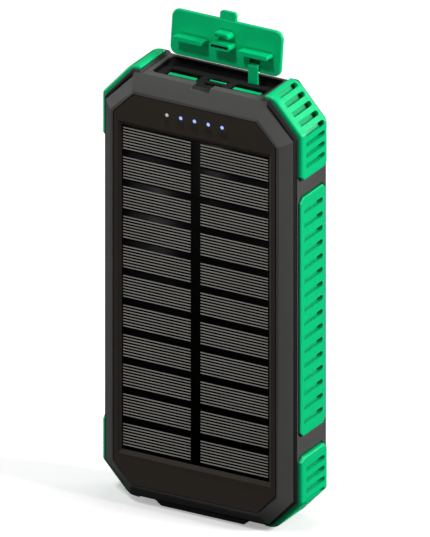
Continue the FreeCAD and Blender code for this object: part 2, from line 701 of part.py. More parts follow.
# ------------------------------------------------------------------ top plate
plate = box(-PLATE_HALF + PLATE_FIT, PLATE_HALF - PLATE_FIT, BEZEL_BACK_Y, PLATE_BACK_Y - PLATE_FIT,
            RIM_Z - PLATE_THICK, RIM_Z)
bay = box(-BAY_HALF, BAY_HALF, BAY_FRONT_Y, BAY_BACK_Y, BAY_FLOOR_Z - 5, RIM_Z + 1)
bay = round_upright(bay, BAY_FRONT_CORNER, BAY_FRONT_Y)
bay = round_upright(bay, BAY_BACK_CORNER, BAY_BACK_Y)
plate = plate.cut(bay)
plate = plate.cut(notch_space)
plate = plate.cut(box(-PLATE_HALF, PLATE_HALF, BACK_RIM_Y, SHELL_BACK_Y, BACK_RIM_Z, RIM_Z + 1))
groove_width, groove_depth = PLATE_GROOVE
groove_z = RIM_Z - groove_depth
for groove_x in (-PLATE_HALF, PLATE_HALF - groove_width):
    plate = plate.cut(box(groove_x, groove_x + groove_width, 0.0, PLATE_BACK_Y, groove_z, RIM_Z + 1))
save("top_plate", plate.removeSplitter())

# The floor of the bay carries the port openings and the tether slot.
floor_bottom_z = BAY_FLOOR_Z - BAY_FLOOR_THICK
floor = box(-PLATE_HALF + PLATE_FIT, PLATE_HALF - PLATE_FIT, BEZEL_BACK_Y, PLATE_BACK_Y - PLATE_FIT,
            floor_bottom_z, BAY_FLOOR_Z)
pan = box(-BAY_HALF - TROUGH_WALL, BAY_HALF + TROUGH_WALL, TROUGH_FRONT_Y - TROUGH_WALL,
          PLATE_BACK_Y - PLATE_FIT, TROUGH_FLOOR_Z - TROUGH_WALL, BAY_FLOOR_Z)
trough = box(-BAY_HALF, BAY_HALF, TROUGH_FRONT_Y, BAY_BACK_Y, TROUGH_FLOOR_Z, BAY_FLOOR_Z + 1.0)
trough = round_upright(trough, BAY_BACK_CORNER, BAY_BACK_Y)
# A bridge across the trough guides the tether.
bridge_half = TETHER_WIDTH / 2 + BRIDGE_FIT
trough = trough.cut(box(TETHER_X - bridge_half, TETHER_X + bridge_half, TROUGH_FRONT_Y - 1.0,
                        TETHER_FRONT_Y + TETHER_THICK + BRIDGE_BACK, 70.0, 90.0))
floor = fuse_all([floor, pan]).cut(trough)


shell_out = USB_SHELL_THICK + USB_SHELL_FIT
for x in (-USB_A_X, USB_A_X):
    floor = floor.cut(usb_a_hole(x, shell_out, 70.0, 90.0))
floor = floor.cut(usb_c_hole(shell_out, 70.0, 90.0))
floor = floor.cut(micro_hole(shell_out, 70.0, 90.0))
slot_half = TETHER_WIDTH / 2 + TETHER_FIT
tether_slot = box(TETHER_X - slot_half, TETHER_X + slot_half,
                  TETHER_FRONT_Y - TETHER_FIT, TETHER_FRONT_Y + TETHER_THICK + TETHER_FIT, 70.0, 90.0)
floor = floor.cut(tether_slot)
save("port_bay_floor", floor.removeSplitter())

# ---------------------------------------------------------------------- ports
usb_a_shells = []
usb_a_tongues = []
usb_a_bottom_z = PORT_MOUTH_Z - USB_A_DEPTH
usb_a_floor_z = usb_a_bottom_z + USB_BACK_THICK
for x in (-USB_A_X, USB_A_X):
    can = usb_a_hole(x, USB_SHELL_THICK, usb_a_bottom_z, PORT_MOUTH_Z)
    can = can.cut(usb_a_hole(x, 0.0, usb_a_floor_z, PORT_MOUTH_Z + 1))
    usb_a_shells.append(can)
    tongue = rounded_box(x, USB_A_TONGUE_Y, *USB_A_TONGUE, usb_a_floor_z, PORT_MOUTH_Z - 0.1)
    root = usb_a_hole(x, 0.0, usb_a_floor_z, usb_a_floor_z + USB_A_ROOT)
    usb_a_tongues.append(tongue.fuse(root).removeSplitter())
save("usb_a_shells", *usb_a_shells)
save("usb_a_tongue_left", usb_a_tongues[0])
save("usb_a_tongue_right", usb_a_tongues[1])

usb_c_bottom_z = PORT_MOUTH_Z - USB_C_DEPTH
usb_c_floor_z = usb_c_bottom_z + USB_BACK_THICK
usb_c_can = usb_c_hole(USB_SHELL_THICK, usb_c_bottom_z, PORT_MOUTH_Z)
usb_c_can = usb_c_can.cut(usb_c_hole(0.0, usb_c_floor_z, PORT_MOUTH_Z + 1))
save("usb_c_shell", usb_c_can)
usb_c_tongue = rounded_box(0, USB_C_Y, *USB_C_TONGUE, usb_c_floor_z, PORT_MOUTH_Z - 0.2)
usb_c_tongue = usb_c_tongue.fuse(usb_c_hole(0.0, usb_c_floor_z, usb_c_floor_z + USB_C_ROOT))
save("usb_c_tongue", usb_c_tongue.removeSplitter())

micro_bottom_z = PORT_MOUTH_Z - MICRO_DEPTH
micro_floor_z = micro_bottom_z + MICRO_BACK_THICK
micro_can = micro_hole(USB_SHELL_THICK, micro_bottom_z, PORT_MOUTH_Z)
micro_can = micro_can.cut(micro_hole(0.0, micro_floor_z, PORT_MOUTH_Z + 1))
save("micro_usb_shell", micro_can)
tongue_half, tongue_front, tongue_back = MICRO_TONGUE
micro_tongue = box(-tongue_half, tongue_half, MICRO_Y + tongue_front, MICRO_Y + tongue_back,
                   micro_floor_z, PORT_MOUTH_Z - 0.6)
micro_tongue = micro_tongue.fuse(micro_hole(0.0, micro_floor_z, micro_floor_z + MICRO_ROOT))
save("micro_usb_tongue", micro_tongue.removeSplitter())

# ----------------------------------------------------- flap, modelled closed
flap = box(-FLAP_HALF, FLAP_HALF, FLAP_FRONT_Y, FLAP_BACK_Y, FLAP_INNER_Z, RIM_Z)
flap = round_upright(flap, FLAP_TAB_CORNER, FLAP_FRONT_Y)
flap = round_upright(flap, FLAP_HINGE_CORNER, FLAP_BACK_Y)
hinge_edges = [e for e in flap.Edges if abs(e.CenterOfMass.y - FLAP_BACK_Y) < 0.01 and e.Length > FLAP_HALF]
flap = flap.makeFillet(FLAP_HINGE_ROUND, hinge_edges)
tab = rounded_box(0, FLAP_FRONT_Y - TAB_REACH / 2 + 1.0, 2 * TAB_HALF, TAB_REACH + 2.0, TAB_CORNER,
                  NOTCH_FLOOR_Z + 0.1, RIM_Z)
flap = flap.fuse(tab)
for x in (-USB_A_X, USB_A_X):
    flap = flap.fuse(rounded_box(x, PLUG_Y, PLUG_SIZE[0], PLUG_SIZE[1], PLUG_CORNER, PLUG_TIP_Z, PLUG_ROOT_Z))
oval = rounded_box(0, USB_C_Y, *OVAL_SIZE, PLUG_TIP_Z, PLUG_ROOT_Z)
oval = oval.cut(rounded_box(0, USB_C_Y, *OVAL_SLOT, PLUG_TIP_Z - 1, FLAP_INNER_Z))
flap = flap.fuse(oval)
trapezoid = micro_hole(-MICRO_PLUG_FIT, PLUG_TIP_Z + 0.2, PLUG_ROOT_Z)
trapezoid = trapezoid.cut(box(-MICRO_PLUG_SLOT[0], MICRO_PLUG_SLOT[0], MICRO_Y, MICRO_Y + MICRO_PLUG_SLOT[1],
                              PLUG_TIP_Z - 1, FLAP_INNER_Z))
flap = flap.fuse(trapezoid)
relief = box(TETHER_X - RELIEF_WIDTH / 2, TETHER_X + RELIEF_WIDTH / 2, FLAP_BACK_Y - RELIEF_REACH,
             FLAP_BACK_Y + 1, FLAP_INNER_Z - 0.5, RIM_Z - FLAP_SKIN)
flap = flap.cut(relief)
pivot_closed_z = PIVOT_OPEN_Z - TETHER_TRAVEL
pin_bore = cylinder(TETHER_X - RELIEF_WIDTH / 2 - PIN_GRIP, PIVOT_Y, pivot_closed_z, SIDEWAYS,
                    PIN_RADIUS, RELIEF_WIDTH + 2 * PIN_GRIP)
flap = flap.cut(pin_bore)


save("port_flap", open_flap(flap.removeSplitter()))
save("flap_pin", open_flap(pin_bore))

# --------------------------------------------------------------------- tether
pan_bottom_z = TROUGH_FLOOR_Z - TROUGH_WALL
leg_bottom_z = pan_bottom_z - ANCHOR_HEIGHT + 0.35
leg_points = [
    (TETHER_FRONT_Y, leg_bottom_z),
    (TETHER_FRONT_Y + TETHER_THICK, leg_bottom_z),
    (TETHER_FRONT_Y + TETHER_THICK, HOOK_TOP_Z - TETHER_THICK),
    (PIVOT_Y, HOOK_TOP_Z - TETHER_THICK),
    (PIVOT_Y, HOOK_TOP_Z),
    (TETHER_FRONT_Y, HOOK_TOP_Z),
]
tether_x0 = TETHER_X - TETHER_WIDTH / 2
tether_x1 = TETHER_X + TETHER_WIDTH / 2
strap = prism_x(leg_points, tether_x0, tether_x1)
outer_bend = [
    e for e in strap.Edges
    if abs(e.CenterOfMass.y - TETHER_FRONT_Y) < 1e-6 and abs(e.CenterOfMass.z - HOOK_TOP_Z) < 1e-6
]
strap = strap.makeFillet(HOOK_RADIUS, outer_bend)
eye = cylinder(tether_x0, PIVOT_Y, PIVOT_OPEN_Z, SIDEWAYS, EYE_RADIUS, TETHER_WIDTH)
anchor_top_z = pan_bottom_z - 0.05
anchor = box(TETHER_X - ANCHOR_HALF, TETHER_X + ANCHOR_HALF, TETHER_FRONT_Y - ANCHOR_LIP,
             TETHER_FRONT_Y + TETHER_THICK + ANCHOR_LIP, anchor_top_z - ANCHOR_HEIGHT, anchor_top_z)
tether = fuse_all([strap, eye, anchor])
tether = tether.cut(cylinder(tether_x0 - 1, PIVOT_Y, PIVOT_OPEN_Z, SIDEWAYS, EYE_BORE, TETHER_WIDTH + 2))
save("flap_tether", tether)

# ---------------------------------------------------------- bumpers and grips


rim_points = bumper_rim_points()
slot = slot_tool(*BUMPER_SLOT_DEPTH)
slot_steps = [BUMPER_SLOT_PITCH * i for i in range(-3, 5)]
bumper_top = round_outer_edges(bumper_top, BUMPER_ROUND)
for x, z, angle in places_around(rim_points, 2, slot_steps):
    bumper_top = bumper_top.cut(place_slot(slot, x, z, angle))
bumper_bottom = round_outer_edges(bumper_bottom, BUMPER_ROUND)
for x, z, angle in places_around(rim_points, 1, [-step for step in slot_steps]):
    bumper_bottom = bumper_bottom.cut(place_slot(slot, x, z, angle))
save("bumper_top_right", bumper_top)
save("bumper_top_left", mirror_x(bumper_top))
save("bumper_bottom_right", bumper_bottom)
save("bumper_bottom_left", mirror_x(bumper_bottom))

grip_face = [f for f in grip.Faces if abs(f.CenterOfMass.x - WALL_X - GRIP_PROUD) < 1e-6][0]
grip = grip.makeFillet(GRIP_ROUND, grip_face.Edges)
grip_mid_z = (GRIP_Z[0] + GRIP_Z[1]) / 2
grip_slot = slot_tool(*GRIP_SLOT_DEPTH)
right_grip = grip.copy()
left_grip = mirror_x(grip)
for i in range(GRIP_SLOT_COUNT):
    z = grip_mid_z + (i - (GRIP_SLOT_COUNT - 1) / 2) * GRIP_SLOT_PITCH
    tool = place_slot(grip_slot, WALL_X + GRIP_PROUD, z, 0.0)
    right_grip = right_grip.cut(tool)
    if abs(z - BUTTON_Z) > BUTTON_SIZE[1] / 2 + BUTTON_FRAME + SLOT_WIDTH / 2:
        left_grip = left_grip.cut(mirror_x(tool))
left_grip = left_grip.cut(button_hole)
save("right_grip", right_grip)
save("left_grip", left_grip)

# --------------------------------------------------------------- power button
button = rounded_plate_x(BUTTON_FACE_X, BUTTON_BACK_X, BUTTON_Y, BUTTON_Z, BUTTON_SIZE[0], BUTTON_SIZE[1],
                         BUTTON_CORNER)
cap_face = [f for f in button.Faces if abs(f.CenterOfMass.x - BUTTON_FACE_X) < 1e-6][0]
button = button.makeFillet(BUTTON_ROUND, cap_face.Edges)
lip_half_y = BUTTON_SIZE[0] / 2 + BUTTON_LIP
lip_half_z = BUTTON_SIZE[1] / 2 + BUTTON_LIP
lip = box(-CAVITY_X + 0.02, BUTTON_BACK_X, BUTTON_Y - lip_half_y, BUTTON_Y + lip_half_y,
          BUTTON_Z - lip_half_z, BUTTON_Z + lip_half_z)
save("power_button", button.fuse(lip).removeSplitter())
switch = box(SWITCH_X[0], SWITCH_X[1], BUTTON_Y - SWITCH_HALF, BUTTON_Y + SWITCH_HALF,
             BUTTON_Z - SWITCH_HALF, BUTTON_Z + SWITCH_HALF)
plunger = cylinder(BUTTON_BACK_X + BUTTON_TRAVEL + 0.02, BUTTON_Y, BUTTON_Z, SIDEWAYS, PLUNGER[0], PLUNGER[1])
save("tact_switch", switch.fuse(plunger).removeSplitter())
save("switch_board", box(SWITCH_X[1], SWITCH_X[1] + SWITCH_BOARD[0],
                         BUTTON_Y - SWITCH_BOARD[1], BUTTON_Y + SWITCH_BOARD[1],
                         BUTTON_Z - SWITCH_BOARD[2], BUTTON_Z + SWITCH_BOARD[2]))

# ------------------------------------------------------------------ internals
save("main_board", board(MAIN_BOARD_Y, *MAIN_BOARD))
save("charge_board", board(CHARGE_BOARD_BACK_Y - BOARD_THICK, *CHARGE_BOARD))
save("light_board", board(LIGHT_BOARD_Y, *LIGHT_BOARD))
led_half, led_depth, led_half_h = LED_SIZE
leds = []
for light_x in LIGHT_XS:
    leds.append(box(light_x - led_half, light_x + led_half, LIGHT_BOARD_Y - led_depth, LIGHT_BOARD_Y,
                    LIGHT_Z - led_half_h, LIGHT_Z + led_half_h))
save("indicator_leds", *leds)
chips = []
for left, right, thick, low, high in BOARD_CHIPS:
    chips.append(box(left, right, MAIN_BOARD_Y - thick, MAIN_BOARD_Y, low, high))
save("board_chips", *chips)
batteries = [rounded_box(0, cell_y, *CELL_BLOCK, *CELL_BLOCK_Z) for cell_y in CELL_BLOCK_YS]
save("battery_cell_front", batteries[0])
save("battery_cell_rear", batteries[1])
save("battery_tape", box(-TAPE_HALF, TAPE_HALF, *TAPE_Y, *TAPE_Z))
save("rear_foam_pad", box(-TAPE_HALF, TAPE_HALF, PAD_FRONT_Y, SHELL_FLOOR_Y, *PAD_Z))

# The battery wires leave the tops of the cells; the solar wires come from the
# back of the laminate.  Both pairs end on the main board.
battery_space = batteries[0].fuse(batteries[1])
battery_leads = []
for x in BATTERY_LEAD["xs"]:
    path = [
        (x, LEAD_MID_Y, BATTERY_LEAD["start_z"]),
        (x, LEAD_MID_Y, BATTERY_LEAD["end_z"]),
        (x, MAIN_BOARD_Y, BATTERY_LEAD["end_z"]),
    ]
    battery_leads.append(wire(path, BATTERY_LEAD["radius"]).cut(battery_space))
save("battery_leads", *battery_leads)
solar_leads = []
for x in SOLAR_LEAD["xs"]:
    path = [(x, SOLAR_LEAD["start_y"], SOLAR_LEAD["z"]), (x, MAIN_BOARD_Y, SOLAR_LEAD["z"])]
    solar_leads.append(wire(path, SOLAR_LEAD["radius"]))
save("solar_leads", *solar_leads)

# ----------------------------------------------------------------------- foot
foot_outline = [
    (-FOOT_TOP_HALF, WALL_BOTTOM_Z),
    (-FOOT_FLAT_HALF, FOOT_Z),
    (FOOT_FLAT_HALF, FOOT_Z),
    (FOOT_TOP_HALF, WALL_BOTTOM_Z),
]
foot = prism_y(foot_outline, FOOT_Y[0], FOOT_Y[1])
tip_edges = [e for e in foot.Edges if abs(e.CenterOfMass.z - FOOT_Z) < 1e-6]
foot = foot.makeFillet(FOOT_ROUND, tip_edges)
spigot_half = FOOT_FLAT_HALF - FOOT_FIT
spigot_inset = FOOT_SEAT_INSET + FOOT_FIT
foot = foot.fuse(box(-spigot_half, spigot_half, FOOT_Y[0] + spigot_inset, FOOT_Y[1] - spigot_inset,
                     WALL_BOTTOM_Z - 0.5, WALL_BOTTOM_Z + FOOT_SEAT_DEPTH - FOOT_FIT))
save("bottom_foot", foot.removeSplitter())
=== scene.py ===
import math

import bmesh
import bpy
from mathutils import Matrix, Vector


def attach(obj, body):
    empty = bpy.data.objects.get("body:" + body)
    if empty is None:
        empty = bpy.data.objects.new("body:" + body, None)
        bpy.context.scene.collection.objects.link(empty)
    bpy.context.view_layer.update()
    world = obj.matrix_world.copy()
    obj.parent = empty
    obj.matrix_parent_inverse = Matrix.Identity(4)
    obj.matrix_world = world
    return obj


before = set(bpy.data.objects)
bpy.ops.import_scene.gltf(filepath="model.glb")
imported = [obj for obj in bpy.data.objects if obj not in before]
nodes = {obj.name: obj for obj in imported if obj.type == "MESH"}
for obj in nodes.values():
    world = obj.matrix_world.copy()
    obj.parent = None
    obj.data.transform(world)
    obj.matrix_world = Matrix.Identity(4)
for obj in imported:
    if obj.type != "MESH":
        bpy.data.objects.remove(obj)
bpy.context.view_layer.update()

MM = 0.001
# The layout frame is the middle of the front panel's face; the row frame is
# the middle of the foot's flat face.
LAYOUT_ORIGIN = Vector((0.0, -13.0, 83.6))
# Painted shade: the rim round the port bay turns black between these two heights, standing in for the shade
# inside the bay, but only partly ahead of the bay's front wall.
RIM_Z = 81.7
RIM_SHADE_SPAN = (RIM_Z - 0.75, RIM_Z - 0.45)
BAY_FRONT_Y = 8.0
BAY_FRONT_SHADE_FADE = (0.2, 0.1)
BAY_FRONT_SHADE_SHARE = 0.3


def place(x, y, z):
    """Layout millimetres to row-frame metres."""
    return (Vector((x, y, z)) + LAYOUT_ORIGIN) * MM


# ------------------------------------------------------------------ materials


def new_material(name):
    material = bpy.data.materials.new(name)
    material.use_nodes = True
    tree = material.node_tree
    tree.nodes.clear()
    out = tree.nodes.new("ShaderNodeOutputMaterial")
    shader = tree.nodes.new("ShaderNodeBsdfPrincipled")
    tree.links.new(shader.outputs["BSDF"], out.inputs["Surface"])
    return material, tree, shader


def noise(tree, scale, detail=3.0, rough=0.55, stretch=None):
    coords = tree.nodes.new("ShaderNodeTexCoord")
    vector = coords.outputs["Object"]
    if stretch:
        mapping = tree.nodes.new("ShaderNodeMapping")
        mapping.inputs["Scale"].default_value = stretch
        tree.links.new(vector, mapping.inputs["Vector"])
        vector = mapping.outputs["Vector"]
    texture = tree.nodes.new("ShaderNodeTexNoise")
    texture.inputs["Scale"].default_value = scale
    texture.inputs["Detail"].default_value = detail
    texture.inputs["Roughness"].default_value = rough
    tree.links.new(vector, texture.inputs["Vector"])
    return texture.outputs["Fac"]


def remap(tree, value, low, high, out_low, out_high):
    node = tree.nodes.new("ShaderNodeMapRange")
    node.inputs["From Min"].default_value = low
    node.inputs["From Max"].default_value = high
    node.inputs["To Min"].default_value = out_low
    node.inputs["To Max"].default_value = out_high
    tree.links.new(value, node.inputs["Value"])
    return node.outputs["Result"]


def mix_color(tree, factor, first, second, mode="MIX"):
    node = tree.nodes.new("ShaderNodeMix")
    node.data_type = "RGBA"
    node.blend_type = mode
    for value, socket in ((factor, 0), (first, 6), (second, 7)):
        if hasattr(value, "links"):
            tree.links.new(value, node.inputs[socket])
        elif socket == 0:
            node.inputs[socket].default_value = value
        else:
            node.inputs[socket].default_value = (*value, 1.0)
    return node.outputs[2]


def add_clamped(tree, first, second):
    node = tree.nodes.new("ShaderNodeMath")
    node.operation = "ADD"
    node.use_clamp = True
    tree.links.new(first, node.inputs[0])
    tree.links.new(second, node.inputs[1])
    return node.outputs["Value"]


def bump(tree, height, distance, strength, normal=None):
    node = tree.nodes.new("ShaderNodeBump")
    node.inputs["Strength"].default_value = strength
    node.inputs["Distance"].default_value = distance
    tree.links.new(height, node.inputs["Height"])
    if normal is not None:
        tree.links.new(normal, node.inputs["Normal"])
    return node.outputs["Normal"]


def moulded(
    name,
    color,
    roughness,
    grain_mm=0.3,
    grain_depth=0.012,
    tint=0.12,
    wear_and_highlight=0.25,
    sheen=0.0,
    specular=0.5,
    wear_and_highlight_color=None,
    coat=0.0,
    painted_shade_below=None,
    hollow_shade_color=None,
):
    """Moulded plastic or rubber: fine grain, cloudy tone, edges lightened partly as wear and partly as a
    painted highlight, uneven gloss.

    The painted-shade heights are two layout heights between which the surface turns black as painted shade;
    the hollow tone is painted shade that darkens narrow slots and holes.
    """
    material, tree, shader = new_material(name)
    fine = noise(tree, 1.0 / (grain_mm * MM), 2.0, 0.6)
    broad = noise(tree, 45.0, 4.0, 0.6)
    middle = noise(tree, 420.0, 3.0, 0.55)
    dark = tuple(c * (1.0 - tint) for c in color)
    light = tuple(min(1.0, c * (1.0 + tint)) for c in color)
    cloudy = mix_color(tree, remap(tree, broad, 0.3, 0.7, 0.0, 1.0), dark, light)
    speck = mix_color(tree, remap(tree, fine, 0.35, 0.7, 0.0, 0.35), cloudy, light)
    geometry = tree.nodes.new("ShaderNodeNewGeometry")
    # Convex edges turn lighter: partly wear, partly a painted highlight standing in for glints on rounded
    # edges.
    edge = remap(tree, geometry.outputs["Pointiness"], 0.505, 0.60, 0.0, wear_and_highlight)
    worn_and_highlit = wear_and_highlight_color or tuple(min(1.0, c * 1.5 + 0.02) for c in color)
    final = mix_color(tree, edge, speck, worn_and_highlit)
    # Painted shade: the surface turns black below the given heights, and only partly so ahead of the bay's
    # front wall.
    if painted_shade_below:
        spot = tree.nodes.new("ShaderNodeSeparateXYZ")
        tree.links.new(geometry.outputs["Position"], spot.inputs["Vector"])
        low, high = (place(0, 0, z).z for z in painted_shade_below)
        height = remap(tree, spot.outputs["Z"], low, high, 0.0, 1.0)
        near, far = (place(0, BAY_FRONT_Y - fade, 0).y for fade in BAY_FRONT_SHADE_FADE)
        ahead_shade = remap(tree, spot.outputs["Y"], near, far, BAY_FRONT_SHADE_SHARE, 0.0)
        final = mix_color(tree, add_clamped(tree, height, ahead_shade), (0.004, 0.004, 0.004), final)
    # Painted shade: narrow slots and holes turn towards the hollow tone the more enclosed they are.
    if hollow_shade_color:
        openness = tree.nodes.new("ShaderNodeAmbientOcclusion")
        openness.inputs["Distance"].default_value = 2.0 * MM
        openness.samples = 8
        shade = remap(tree, openness.outputs["AO"], 0.12, 0.80, 0.0, 1.0)
        final = mix_color(tree, shade, hollow_shade_color, final)
    tree.links.new(final, shader.inputs["Base Color"])
    rough = remap(tree, middle, 0.3, 0.7, roughness - 0.05, roughness + 0.06)
    tree.links.new(rough, shader.inputs["Roughness"])
    grain = bump(tree, fine, grain_depth * MM, 0.8)
    waviness = bump(tree, middle, 0.01 * MM, 0.4, grain)
    tree.links.new(waviness, shader.inputs["Normal"])
    shader.inputs["Specular IOR Level"].default_value = specular
    shader.inputs["Sheen Weight"].default_value = sheen
    shader.inputs["Coat Weight"].default_value = coat
    return material


def metal(name, color, roughness, stretch):
    material, tree, shader = new_material(name)
    lines = noise(tree, 900.0, 3.0, 0.6, stretch)
    stain = noise(tree, 220.0, 3.0, 0.6)
    dull = tuple(c * 0.75 for c in color)
    stained = tuple(c * 0.55 for c in color)
    tone = mix_color(tree, remap(tree, lines, 0.3, 0.7, 0.0, 1.0), dull, color)
    tone = mix_color(tree, remap(tree, stain, 0.4, 0.8, 0.0, 0.4), tone, stained)
    tree.links.new(tone, shader.inputs["Base Color"])
    rough = remap(tree, lines, 0.3, 0.7, roughness - 0.08, roughness + 0.1)
    tree.links.new(rough, shader.inputs["Roughness"])
    tree.links.new(bump(tree, lines, 0.004 * MM, 0.5), shader.inputs["Normal"])
    shader.inputs["Metallic"].default_value = 1.0
    return material


def glowing(name, color, strength):
    """Frosted lens lit from behind, brightest in its middle."""
    material, tree, shader = new_material(name)
    frost = noise(tree, 5200.0, 2.0, 0.6)
    layer = tree.nodes.new("ShaderNodeLayerWeight")
    layer.inputs["Blend"].default_value = 0.4
    tone = mix_color(tree, remap(tree, frost, 0.3, 0.7, 0.0, 0.5), color, tuple(c * 0.8 for c in color))
    tree.links.new(tone, shader.inputs["Base Color"])
    tree.links.new(tone, shader.inputs["Emission Color"])
    power = remap(tree, layer.outputs["Facing"], 0.0, 1.0, strength, strength * 0.35)
    tree.links.new(power, shader.inputs["Emission Strength"])
    tree.links.new(bump(tree, frost, 0.006 * MM, 0.5), shader.inputs["Normal"])
    shader.inputs["Roughness"].default_value = 0.35
    return material


def resin_black(name, color, roughness):
    """Glossy cast resin over black silicon: faint ripples and crystal-like mottling."""
    material, tree, shader = new_material(name)
    coords = tree.nodes.new("ShaderNodeTexCoord")
    grains = tree.nodes.new("ShaderNodeTexVoronoi")
    grains.inputs["Scale"].default_value = 260.0
    tree.links.new(coords.outputs["Object"], grains.inputs["Vector"])
    ripple = noise(tree, 120.0, 2.0, 0.5)
    bluish = (color[0] * 1.6, color[1] * 1.6, color[2] * 2.2)
    share = remap(tree, grains.outputs["Distance"], 0.0, 0.8, 0.0, 1.0)
    tree.links.new(mix_color(tree, share, color, bluish), shader.inputs["Base Color"])
    rough = remap(tree, ripple, 0.3, 0.7, roughness - 0.04, roughness + 0.06)
    tree.links.new(rough, shader.inputs["Roughness"])
    tree.links.new(bump(tree, ripple, 0.02 * MM, 0.3), shader.inputs["Normal"])
    shader.inputs["Specular IOR Level"].default_value = 0.05
    return material


SHELL_GREY = (0.072, 0.071, 0.069)
GREEN = (0.0, 0.60, 0.215)
# moulded: name, colour, roughness, grain size and depth in mm, tone range, edge wear and painted edge
# highlight.
# metal: name, colour, roughness, stretch of the brushing. glowing: name, colour, strength.
mats = {
    "shell": moulded("shell_plastic", SHELL_GREY, 0.5, 0.28, 0.010, 0.08, 0.22, specular=0.16),
    # The bay rim plastic carries painted shade inside the port bay.
    "bay_rim": moulded("bay_rim_plastic", (0.085, 0.084, 0.081), 0.5, 0.28, 0.010, 0.08, 0.22, specular=0.2,
                       painted_shade_below=RIM_SHADE_SPAN),
    "panel": moulded("panel_plastic", (0.044, 0.036, 0.029), 0.5, 0.22, 0.004, 0.05, 0.15, specular=0.15),
    "inner": moulded("inner_plastic", (0.010, 0.0105, 0.0105), 0.6, 0.3, 0.008, 0.1, 0.3, specular=0.2),
    # The seam strip is near-black: partly the dark seam rubber, partly painted shade of the groove between
    # bezel and rear shell.
    "seam": moulded("seam_rubber", (0.008, 0.008, 0.008), 0.8, 0.3, 0.01, 0.1, 0.2, specular=0.2),
    # The green rubber's hollow tone is painted shade in its slots and holes.
    "green": moulded("green_rubber", GREEN, 0.30, 0.35, 0.004, 0.04, 0.3, specular=0.3,
                     wear_and_highlight_color=(0.0, 0.68, 0.27), hollow_shade_color=(0.0, 0.010, 0.004)),
    "port_green": moulded("port_green", GREEN, 0.35, 0.3, 0.004, 0.05, 0.3, specular=0.25,
                          wear_and_highlight_color=(0.01, 0.72, 0.30)),
    "foot": moulded("foot_plastic", (0.016, 0.016, 0.016), 0.6, 0.3, 0.01, 0.1, 0.3, specular=0.3),
    "button": moulded("button_rubber", (0.04, 0.04, 0.04), 0.6, 0.3, 0.01, 0.1, 0.3),
    "steel": metal("screw_steel", (0.45, 0.45, 0.46), 0.35, (1.0, 8.0, 1.0)),
    "port_steel": metal("port_steel", (0.09, 0.09, 0.09), 0.4, (1.0, 1.0, 6.0)),
    "gold": metal("contact_gold", (0.95, 0.62, 0.20), 0.3, (6.0, 1.0, 1.0)),
    "finger": moulded("finger_silver", (0.46, 0.45, 0.42), 0.45, 0.15, 0.004, 0.10, 0.1, specular=0.3),
    "resin": resin_black("solar_resin", (0.0013, 0.0012, 0.0010), 0.35),
    "cell": resin_black("cell_silicon", (0.0018, 0.0016, 0.0014), 0.32),
    "ink": moulded("label_ink", (0.012, 0.010, 0.008), 0.35, 0.2, 0.002, 0.05, 0.0),
    "white_lens": glowing("lens_white", (0.62, 0.62, 0.58), 0.5),
    "blue_lens": glowing("lens_blue", (0.30, 0.42, 1.0), 1.25),
    "board": moulded("circuit_board", (0.01, 0.09, 0.035), 0.4, 0.5, 0.01, 0.15, 0.3),
    "chip": moulded("chip_plastic", (0.012, 0.012, 0.013), 0.45, 0.2, 0.006, 0.1, 0.3),
    "led": glowing("led_chip", (0.8, 0.8, 0.6), 0.3),
    "pouch": moulded("battery_foil", (0.5, 0.51, 0.53), 0.35, 0.8, 0.02, 0.1, 0.2, coat=0.3),
    "foam": moulded("foam", (0.08, 0.08, 0.08), 0.9, 0.6, 0.08, 0.2, 0.1, sheen=0.3),
    "wire": moulded("wire_plastic", (0.45, 0.02, 0.02), 0.4, 0.4, 0.006, 0.1, 0.2),
}

